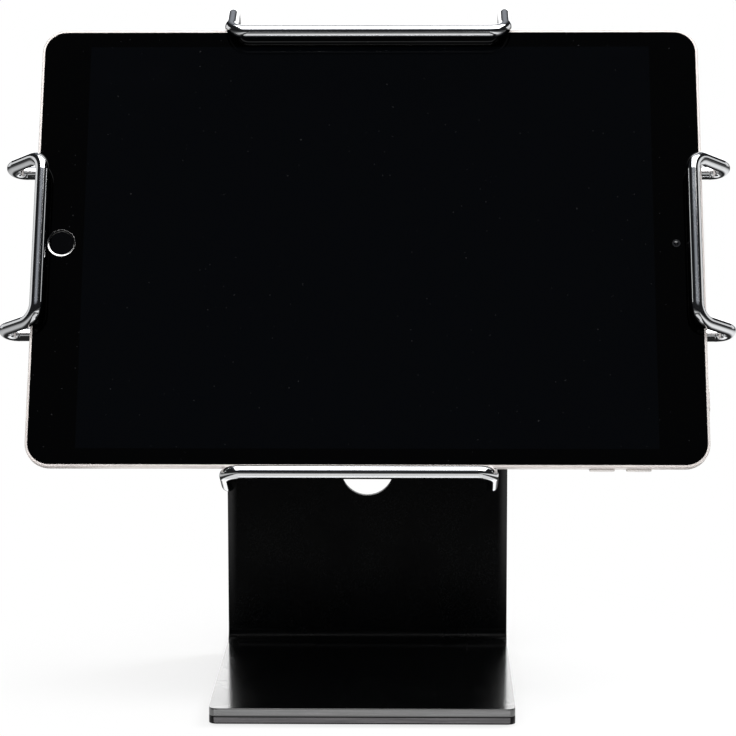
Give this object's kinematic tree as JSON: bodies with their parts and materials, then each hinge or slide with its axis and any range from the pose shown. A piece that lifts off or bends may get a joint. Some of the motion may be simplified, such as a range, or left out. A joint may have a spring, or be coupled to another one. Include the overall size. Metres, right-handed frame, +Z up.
{
  "type": "tablet security kiosk stand",
  "caption": "Bent black steel counter stand with a leaning head that locks a landscape tablet behind sliding chrome wire brackets, with a cable hole in its upright.",
  "frame": {"origin": "middle of the underside of the rubber pad, on the surface the stand rests on", "axes": "+Z up, the stand faces -Y, +X to the viewer's right along the tablet's long side"},
  "size_m": [0.2746, 0.16, 0.2443],
  "materials": {
    "pad_rubber": "matt black rubber sheet",
    "base_paint": "semi-gloss black powder coat",
    "stand_paint": "semi-gloss black powder coat",
    "screw_steel": "zinc plated steel",
    "dark_screw": "blackened steel",
    "holder_nylon": "moulded black nylon",
    "cover_paint": "matt black paint on steel",
    "soft_pad": "soft grey-black foam rubber",
    "bracket_chrome": "bright chrome on steel wire",
    "tablet_aluminium": "fine blasted, warm silver anodising",
    "button_aluminium": "fine blasted, warm silver anodising",
    "cover_glass": "polished glass, black from behind",
    "screen": "dark screen, switched off",
    "cell_wrap": "black wrapped cells",
    "board_green": "solder mask with dark chips",
    "speaker_plastic": "black moulded boxes",
    "home_gloss": "polished black disc",
    "home_steel": "fine turned steel",
    "switch_steel": "pressed steel can",
    "lens_dark": "dark lens",
    "socket_steel": "drawn steel cup"
  },
  "bodies": {
    "stand": {"base_pad": "pad_rubber", "base_plate": "base_paint", "base_screws": "screw_steel", "stand_sheet": "stand_paint", "holder_body": "holder_nylon", "holder_cover": "cover_paint", "cover_screws": "screw_steel", "soft_pads": "soft_pad", "holder_screws": "dark_screw", "lock_screws": "dark_screw", "tablet_shell": "tablet_aluminium", "tablet_glass": "cover_glass", "display_panel": "screen", "battery": "cell_wrap", "logic_board": "board_green", "speakers": "speaker_plastic", "home_ring_trim": "home_steel", "home_switch": "switch_steel", "front_camera": "lens_dark", "rear_camera": "lens_dark", "edge_switches": "switch_steel", "charge_port": "socket_steel"},
    "top_bracket": {"top_bracket": "bracket_chrome"},
    "bottom_bracket": {"bottom_bracket": "bracket_chrome"},
    "left_bracket": {"left_bracket": "bracket_chrome"},
    "right_bracket": {"right_bracket": "bracket_chrome"},
    "home_button": {"home_button": "home_gloss"},
    "volume_up_button": {"volume_up_button": "button_aluminium"},
    "volume_down_button": {"volume_down_button": "button_aluminium"},
    "power_button": {"power_button": "button_aluminium"}
  },
  "joints": [
    {"name": "top_bracket_slide", "type": "slide", "parent": "stand", "child": "top_bracket", "axis": [0, 0.4352, 0.9003], "range_m": [0, 0.02]},
    {"name": "bottom_bracket_slide", "type": "slide", "parent": "stand", "child": "bottom_bracket", "axis": [0, -0.4352, -0.9003], "range_m": [0, 0.02]},
    {"name": "left_bracket_slide", "type": "slide", "parent": "stand", "child": "left_bracket", "axis": [-1, 0, 0], "range_m": [0, 0.025]},
    {"name": "right_bracket_slide", "type": "slide", "parent": "stand", "child": "right_bracket", "axis": [1, 0, 0], "range_m": [0, 0.025]},
    {"name": "home_button_press", "type": "slide", "parent": "stand", "child": "home_button", "axis": [0, 0.9003, -0.4352], "range_m": [0, 0.0003], "stiffness_N_per_m": 1500},
    {"name": "volume_up_press", "type": "slide", "parent": "stand", "child": "volume_up_button", "axis": [0, 0.4352, 0.9003], "range_m": [0, 0.0003], "stiffness_N_per_m": 1500},
    {"name": "volume_down_press", "type": "slide", "parent": "stand", "child": "volume_down_button", "axis": [0, 0.4352, 0.9003], "range_m": [0, 0.0003], "stiffness_N_per_m": 1500},
    {"name": "power_button_press", "type": "slide", "parent": "stand", "child": "power_button", "axis": [-1, 0, 0], "range_m": [0, 0.0003], "stiffness_N_per_m": 1500}
  ]
}
